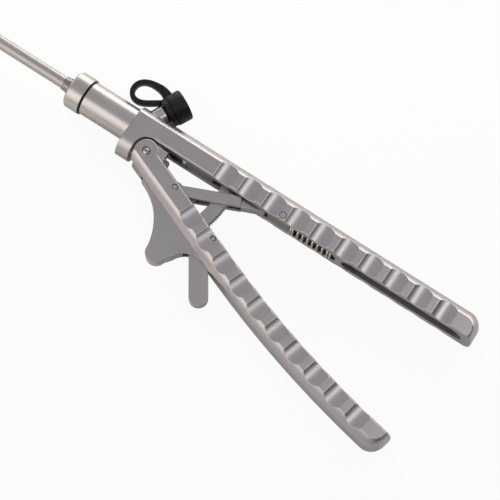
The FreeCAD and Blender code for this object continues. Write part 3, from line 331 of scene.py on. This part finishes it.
def turned(name, foot, axis, profile, material, segments, smooth=True):
    """Closed profile of (distance, radius) corners in millimetres, turned about an axis."""
    side = Z_AXIS
    other = axis.cross(side)
    rings = []
    for step in range(segments):
        angle = 2 * math.pi * step / segments
        out = side * math.cos(angle) + other * math.sin(angle)
        rings.append([foot + axis * (along * MM) + out * (radius * MM)
                      for along, radius in profile])
    return loft(name, rings, material, closed=True, smooth=smooth)


def rounded(corners, radius, steps):
    """Closed profile with every corner rounded by a radius, in millimetres."""
    points = [Vector(corner) for corner in corners]
    result = []
    for number, point in enumerate(points):
        before = points[number - 1] - point
        after = points[(number + 1) % len(points)] - point
        reach = min(radius, before.length * CORNER_SHARE, after.length * CORNER_SHARE)
        start = point + before.normalized() * reach
        end = point + after.normalized() * reach
        for step in range(steps + 1):
            t = step / steps
            result.append(tuple(start * (1 - t) ** 2 + point * 2 * t * (1 - t) + end * t ** 2))
    return result


def spring():
    """Compression spring with close end coils, between the slider's tail and the channel's end."""
    low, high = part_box("return_spring")
    wire_radius = 0.5 * MM
    coil_radius = 3.2 * MM
    height = 0.3 * MM
    turns, steps, sides = 10, 360, 12
    close_turns = 1.3 / turns
    close_length = 0.055
    start = low.x + wire_radius
    end = high.x - wire_radius

    def advance(t):
        """Share of the spring's length that is covered after a share of its turns."""
        if t < close_turns:
            return t / close_turns * close_length
        if t > 1 - close_turns:
            return 1 - (1 - t) / close_turns * close_length
        open_share = (t - close_turns) / (1 - 2 * close_turns)
        return close_length + open_share * (1 - 2 * close_length)

    rings = []
    for step in range(steps + 1):
        t = step / steps
        angle = 2 * math.pi * turns * t
        outward = Vector((0, math.cos(angle), math.sin(angle)))
        centre = Vector((start + (end - start) * advance(t), height, 0)) + outward * coil_radius
        ring = []
        for corner in range(sides):
            turn = 2 * math.pi * corner / sides
            round_wire = outward * math.cos(turn) + X_AXIS * math.sin(turn)
            ring.append(centre + round_wire * wire_radius)
        rings.append(ring)
    piece = loft("coil_spring", rings, WIRE)
    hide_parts("return_spring")
    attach(piece, "handle")
    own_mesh(piece)


def ferrule():
    """Shaft's ferrule: a cone with turned grooves, and the flange that the collar holds.

    Radii and distances along the shaft are in millimetres.
    """
    bore, nose, neck, flange = 2.3, 2.85, 3.35, 5.4
    cone_start, cone_end, flange_start, flange_end = 0.8, 3.6, 5.4, 6.8
    grooves, first, pitch, depth = 4, 0.65, 0.95, 0.34
    half_mouth, half_floor = 0.28, 0.1

    def radius(along):
        share = (along - cone_start) / (cone_end - cone_start)
        return nose + (neck - nose) * min(max(share, 0), 1)

    profile = [(0, bore), (0, nose)]
    for number in range(grooves):
        centre = first + pitch * number
        floor = radius(centre) - depth
        profile += [(centre - half_mouth, radius(centre - half_mouth)),
                    (centre - half_floor, floor), (centre + half_floor, floor),
                    (centre + half_mouth, radius(centre + half_mouth))]
    profile += [(flange_start, neck), (flange_start, flange), (flange_end, flange),
                (flange_end, bore)]
    piece = turned("grooved_ferrule", Vector((0, 0, 0)), X_AXIS, profile, GROOVED, segments=96,
                   smooth=False)
    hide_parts("shaft_ferrule")
    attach(piece, "handle")


def cap():
    """Rubber cap with soft edges and a plug inside.

    Radii and distances along the port are in millimetres.
    """
    rim, plug_end, inner_top, top = 14.4, 16.1, 18.6, 20.4
    outer, inner, plug, axis_hole = 6.1, 4.1, 1.8, 0.02
    corners = [(rim, inner), (rim, outer), (top, outer), (top, axis_hole), (plug_end, axis_hole),
               (plug_end, plug), (inner_top, plug), (inner_top, inner)]
    profile = rounded(corners, radius=0.7, steps=4)
    piece = turned("rubber_cap", PORT_FOOT, PORT_AXIS, profile, RUBBER, segments=72)
    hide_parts("port_cap")
    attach(piece, "cap")


def smooth_path(name, points):
    """Points along a smooth NURBS line in the plane Z = 0, guided by millimetre points."""
    curve = bpy.data.curves.new(name, "CURVE")
    curve.dimensions = "3D"
    spline = curve.splines.new("NURBS")
    spline.points.add(len(points) - 1)
    for spot, (x, y) in zip(spline.points, points):
        spot.co = (x * MM, y * MM, 0, 1)
    spline.order_u = 4
    spline.use_endpoint_u = True
    spline.resolution_u = 8
    line = bpy.data.objects.new(name, curve)
    SCENE.collection.objects.link(line)
    path = [vertex.co.copy() for vertex in bpy.data.meshes.new_from_object(line).vertices]
    bpy.data.objects.remove(line)
    return path


def strap():
    """Rubber strap that loops forward from the port's ring and flares into the cap's side.

    Its path and section are in millimetres.
    """
    path = smooth_path("strap_line", [
        (35.2, 13.3), (33.6, 12.3), (30.6, 10.0), (27.4, 8.75), (24.2, 9.5), (22.7, 12.6),
        (23.7, 16.0), (26.8, 17.8), (30.0, 18.1), (33.4, 18.1), (35.9, 16.9)])
    half_width, half_thickness = 1.5, 0.95
    flare_start, flare_growth = 0.66, 0.9
    section = rounded([(-half_width, -half_thickness), (half_width, -half_thickness),
                       (half_width, half_thickness), (-half_width, half_thickness)],
                      radius=0.4, steps=3)
    last = len(path) - 1
    rings = []
    for number, spot in enumerate(path):
        ahead = path[min(number + 1, last)] - path[max(number - 1, 0)]
        across = Z_AXIS.cross(ahead.normalized())
        flared = max(0, (number / last - flare_start) / (1 - flare_start))
        growth = 1 + flare_growth * flared ** 2
        rings.append([spot + Z_AXIS * (wide * MM) + across * (thick * growth * MM)
                      for wide, thick in section])
    piece = loft("rubber_strap", rings, RUBBER)
    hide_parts("cap_tether")
    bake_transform(piece)


def connect(tree, *pairs):
    """Link each pair of a node's output and another's input."""
    for source, target in pairs:
        tree.links.new(source, target)


def ground():
    """Pale floor under the tool, which the camera sees as white and metal sees in part."""
    half, gap = 3.0, 0.0001
    z = CAD_BOX[0][2] - gap
    material = bpy.data.materials.new("floor")
    corners = [(-half, -half, z), (half, -half, z), (half, half, z), (-half, half, z)]
    floor = mesh_object("floor", corners, [(0, 1, 2, 3)], material, smooth=False)
    material.use_nodes = True
    tree = material.node_tree
    tree.nodes.clear()
    output = tree.nodes.new("ShaderNodeOutputMaterial")
    mix = tree.nodes.new("ShaderNodeMixShader")
    matte = tree.nodes.new("ShaderNodeBsdfDiffuse")
    matte.inputs["Color"].default_value = (0.6, 0.59, 0.58, 1)
    white = tree.nodes.new("ShaderNodeEmission")
    path = tree.nodes.new("ShaderNodeLightPath")
    either = tree.nodes.new("ShaderNodeMath")
    either.operation = "MAXIMUM"
    for number, (ray, share) in enumerate((("Is Camera Ray", 0.94), ("Is Glossy Ray", 0.12))):
        seen = tree.nodes.new("ShaderNodeMath")
        seen.operation = "MULTIPLY"
        seen.inputs[1].default_value = share
        connect(tree, (path.outputs[ray], seen.inputs[0]), (seen.outputs[0], either.inputs[number]))
    connect(tree, (either.outputs[0], mix.inputs[0]), (matte.outputs[0], mix.inputs[1]),
            (white.outputs[0], mix.inputs[2]), (mix.outputs[0], output.inputs["Surface"]))


def studio():
    """World that the camera sees as white, and that lights less from the handle's end."""
    world = bpy.data.worlds.new("studio")
    SCENE.world = world
    world.use_nodes = True
    tree = world.node_tree
    light = tree.nodes["Background"]
    light.inputs["Color"].default_value = (0.94, 0.96, 1.0, 1)
    place = tree.nodes.new("ShaderNodeTexCoord")
    direction = tree.nodes.new("ShaderNodeSeparateXYZ")
    fall = tree.nodes.new("ShaderNodeMapRange")
    fall.interpolation_type = "SMOOTHSTEP"
    set_range(fall, low_in=0.2, high_in=0.85, low_out=0.41, high_out=0.07)
    white = tree.nodes.new("ShaderNodeBackground")
    white.inputs["Color"].default_value = (1, 1, 1, 1)
    mix = tree.nodes.new("ShaderNodeMixShader")
    path = tree.nodes.new("ShaderNodeLightPath")
    connect(tree, (place.outputs["Generated"], direction.inputs[0]),
            (direction.outputs["X"], fall.inputs["Value"]),
            (fall.outputs["Result"], light.inputs["Strength"]),
            (path.outputs["Is Camera Ray"], mix.inputs[0]), (light.outputs[0], mix.inputs[1]),
            (white.outputs[0], mix.inputs[2]),
            (mix.outputs[0], tree.nodes["World Output"].inputs["Surface"]))


# Name, place, target, size, watts, colour, and whether metal mirrors the lamp.
LAMPS = (
    ("overhead", (0.44, 0.18, 0.84), (0.09, 0, 0), (0.50, 0.30), 0.75, (1.0, 0.97, 0.94), True),
    ("flank", (-0.40, -0.55, 0.30), (0.10, -0.02, 0), (0.60, 0.36), 0.75, (1.0, 0.90, 0.79), True),
    ("side", (-0.08, -0.60, 0.70), (0.06, 0, 0), (0.60, 0.45), 0.9, (1.0, 0.93, 0.86), True),
    ("far_side", (0.10, 0.50, 0.10), (0.10, 0, 0), (1.0, 0.24), 1.6, (1.0, 0.96, 0.90), True),
    ("fill", (-0.26, 0.36, 0.14), (0.10, 0, 0), (0.30, 0.20), 5.0, (1.0, 0.98, 0.95), False),
)


def lamps():
    """Large weak area lamps round the tool."""
    for name, spot, target, size, power, colour, mirrored in LAMPS:
        data = bpy.data.lights.new(name, "AREA")
        data.shape = "RECTANGLE"
        data.size, data.size_y = size
        data.energy = power
        data.color = colour
        light = bpy.data.objects.new(name, data)
        SCENE.collection.objects.link(light)
        light.location = spot
        light.visible_glossy = mirrored
        aim = Vector(target) - Vector(spot)
        light.rotation_euler = aim.to_track_quat("-Z", "Y").to_euler()


def camera():
    """The photograph's camera, fitted to the tool's measured edges."""
    azimuth, elevation, roll = (math.radians(angle) for angle in (34.104, 74.019, -0.587))
    target, distance, view_angle = Vector((0.0951, -0.01619, 0)), 0.6965, math.radians(15.13)
    level = Vector((math.sin(azimuth), -math.cos(azimuth), 0))
    back = level * math.cos(elevation) + Z_AXIS * math.sin(elevation)
    side = Vector((math.cos(azimuth), math.sin(azimuth), 0))
    upright = back.cross(side)
    right = side * math.cos(roll) + upright * math.sin(roll)
    above = upright * math.cos(roll) - side * math.sin(roll)
    data = bpy.data.cameras.new("camera")
    data.angle = view_angle
    data.clip_start = 0.01
    eye = bpy.data.objects.new("camera", data)
    SCENE.collection.objects.link(eye)
    place = Matrix((right, above, back)).transposed().to_4x4()
    place.translation = target + back * distance
    eye.matrix_world = place
    SCENE.camera = eye


dress()
ground()
studio()
lamps()
camera()
spring()
ferrule()
cap()
strap()
